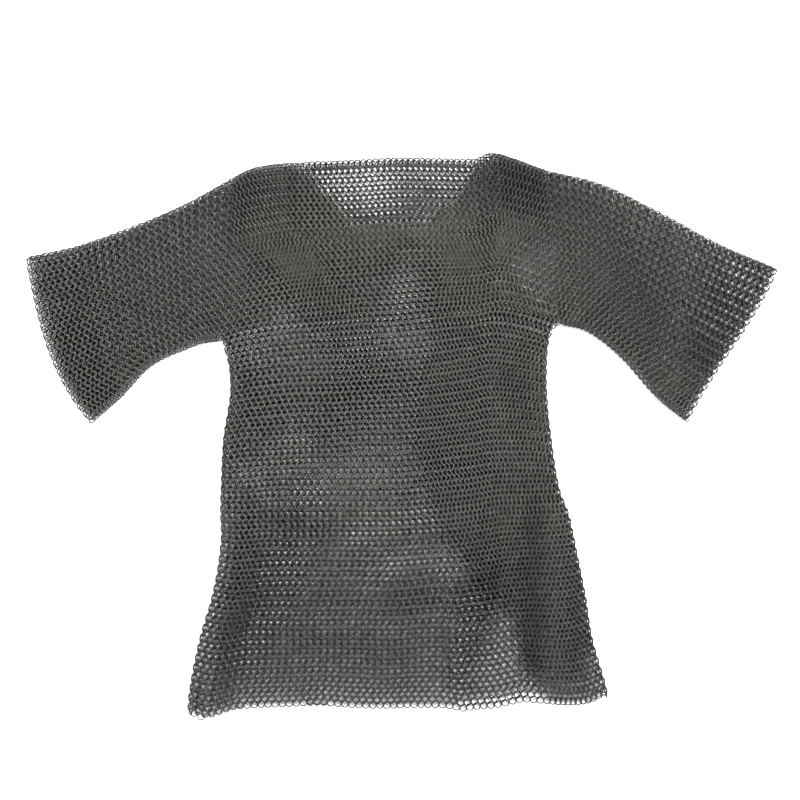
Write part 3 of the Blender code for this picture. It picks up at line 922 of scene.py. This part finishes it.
class MAIL_OT_sleeve(bpy.types.Operator):
    """Link both layers of one sleeve, from the armhole to the cuff, and its folds."""

    bl_idname = "mail.sleeve"
    bl_label = "Sleeve"
    side: EnumProperty(name="Side", description="Which sleeve", default="left",
                       items=(("left", "Left", "Sleeve at the left"),
                              ("right", "Right", "Sleeve at the right")))

    def execute(self, context):
        links = context.scene.mail_links
        cut = Cut(links)
        side = self.side
        way = 1 if side == "right" else -1
        count = links.along_right if side == "right" else links.along_left
        places = Places(cut)

        def surface(u, t):
            x, y = cut.sleeve(side, u * way, t)
            x, y = waver(x, y, np.minimum(u * way, 1 - u * way))
            return x, y, np.zeros_like(x)

        for layer in range(2):
            # The under layer of the sleeve is drawn darker as painted shade.
            places.worn_and_shaded = 1.0 if layer else context.scene.mail_steel.under_layer_shade
            step = 0 if layer else SLEEVE_STEP[side]
            first = links.rows_to_armpit - round(step)
            for row in range(first, cut.rows - 1):
                turn = row + 1 - layer
                places.add(surface, sleeve_steps(turn, count) * way, cut.row_place(row + step),
                           row_way_sign(turn), count, upper=layer == 1)
        edge_rows = (
            # row, angle past flat, and 1 where its rings lean as in odd rows
            (cut.rows - TOP_ROWS[0], OPEN_TURN, 0),
            (cut.rows - TOP_ROWS[1], TOP_TURN, 1),
            (links.rows_to_armpit - UNDERARM_ROW, UNDERARM_TURN, 1),
        )
        for row, over, turn in edge_rows:
            upper = row > links.rows_to_armpit
            u = sleeve_steps(cut.rows + turn if upper else 1, count) * way
            t = cut.row_place(row)
            point, along, left = plan_frame(lambda at: cut.sleeve(side, at * way, t), u)
            outward = left if upper else -left
            point[:, 2] = cut.fold_height
            lean = row_way_sign(turn) * links.lean * FOLD_LEAN
            places.fold(point, outward, along, over, lean, crosses=False)
        forge(f"{side}_sleeve_links", places, blackened_steel(), f"{side}_sleeve")
        return {"FINISHED"}


# ---------------------------------------------------------------- stage
FLOOR_LEVEL = -0.0010                           # just under the lowest rings
FLOOR_REACH = 6.0                               # from the floor's middle to its edges
KEY_LAMP = (1.2, 6.0, radians(35), radians(45))     # size, distance, angle off vertical, turn from X
SOFT_LAMP = (2.0, 3.5, radians(70))                 # the first three for each soft lamp
VIEW_WIDTH = 1.36                               # width of the floor that the camera shows
VIEW_MIDDLE = (-0.0034, 0.058)                  # place that the camera looks down on


class MAIL_OT_stage(bpy.types.Operator):
    """Lay the floor, hang the lamps and set the camera straight above the shirt."""

    bl_idname = "mail.stage"
    bl_label = "Stage"

    def execute(self, context):
        stage = context.scene.mail_stage
        floor_mesh = bpy.data.meshes.new("floor")
        corners = [(FLOOR_REACH * x, FLOOR_REACH * y, 0) for x, y in ((-1, -1), (1, -1), (1, 1), (-1, 1))]
        floor_mesh.from_pydata(corners, [], [(0, 1, 2, 3)])
        floor = bpy.data.objects.new("floor", floor_mesh)
        context.scene.collection.objects.link(floor)
        floor.location.z = FLOOR_LEVEL
        paper = bpy.data.materials.new("Pale paper")
        paper.use_nodes = True
        shader = paper.node_tree.nodes["Principled BSDF"]
        shader.inputs["Base Color"].default_value = (*stage.floor, 1)
        shader.inputs["Roughness"].default_value = 0.9
        shader.inputs["Specular IOR Level"].default_value = 0.1
        floor_mesh.materials.append(paper)

        def lamp(name, power, size, away, off_vertical, turn):
            light = bpy.data.lights.new(name, "AREA")
            light.shape = "DISK"
            light.size = size
            light.energy = power
            obj = bpy.data.objects.new(name, light)
            context.scene.collection.objects.link(obj)
            level = sin(off_vertical)
            place = Vector((level * cos(turn), level * sin(turn), cos(off_vertical)))
            obj.location = place * away
            obj.rotation_euler = (-place).to_track_quat("-Z", "Y").to_euler()

        lamp("key", stage.key_power, *KEY_LAMP)
        soft = (("soft_right", stage.side_power), ("soft_neck", stage.neck_power),
                ("soft_left", stage.side_power), ("soft_hem", stage.hem_power))
        for i, (name, power) in enumerate(soft):
            lamp(name, power, *SOFT_LAMP, radians(90) * i)

        world = context.scene.world or bpy.data.worlds.new("surroundings")
        context.scene.world = world
        world.use_nodes = True
        sky = world.node_tree.nodes["Background"]
        sky.inputs["Color"].default_value = (1, 1, 1, 1)
        sky.inputs["Strength"].default_value = stage.sky

        camera = bpy.data.cameras.new("camera")
        camera.sensor_width = 36
        camera.lens = camera.sensor_width * stage.camera_height / VIEW_WIDTH
        eye = bpy.data.objects.new("camera", camera)
        context.scene.collection.objects.link(eye)
        eye.location = (*VIEW_MIDDLE, stage.camera_height)
        context.scene.camera = eye
        context.scene.view_settings.view_transform = "Standard"
        return {"FINISHED"}


class MAIL_PT_panel(bpy.types.Panel):
    """Sizes, finish and stage of the mail shirt."""

    bl_idname = "MAIL_PT_panel"
    bl_label = "Mail haubergeon"
    bl_space_type = "VIEW_3D"
    bl_region_type = "UI"
    bl_category = "Mail"

    def draw(self, context):
        for group in ("mail_links", "mail_steel", "mail_stage"):
            settings = getattr(context.scene, group)
            box = self.layout.box()
            for key in settings.bl_rna.properties.keys():
                if key not in {"rna_type", "name"}:
                    box.prop(settings, key)
        for operator in (MAIL_OT_back, MAIL_OT_front, MAIL_OT_stage):
            self.layout.operator(operator.bl_idname)
        for side in ("left", "right"):
            self.layout.operator(MAIL_OT_sleeve.bl_idname, text=f"{side.title()} sleeve").side = side


CLASSES = (MailLinkSettings, MailSteelSettings, MailStageSettings, MAIL_OT_back, MAIL_OT_front,
           MAIL_OT_sleeve, MAIL_OT_stage, MAIL_PT_panel)


def register():
    """Register the classes and hang the settings on the scene."""
    for item in CLASSES:
        bpy.utils.register_class(item)
    bpy.types.Scene.mail_links = PointerProperty(type=MailLinkSettings)
    bpy.types.Scene.mail_steel = PointerProperty(type=MailSteelSettings)
    bpy.types.Scene.mail_stage = PointerProperty(type=MailStageSettings)


def unregister():
    """Take the settings and the classes away again."""
    for group in ("mail_links", "mail_steel", "mail_stage"):
        delattr(bpy.types.Scene, group)
    for item in reversed(CLASSES):
        bpy.utils.unregister_class(item)


def main():
    """Build the shirt's rings and the stage."""
    register()
    bpy.ops.mail.back()
    bpy.ops.mail.front()
    bpy.ops.mail.sleeve(side="left")
    bpy.ops.mail.sleeve(side="right")
    bpy.ops.mail.stage()


if __name__ == "__main__":
    main()
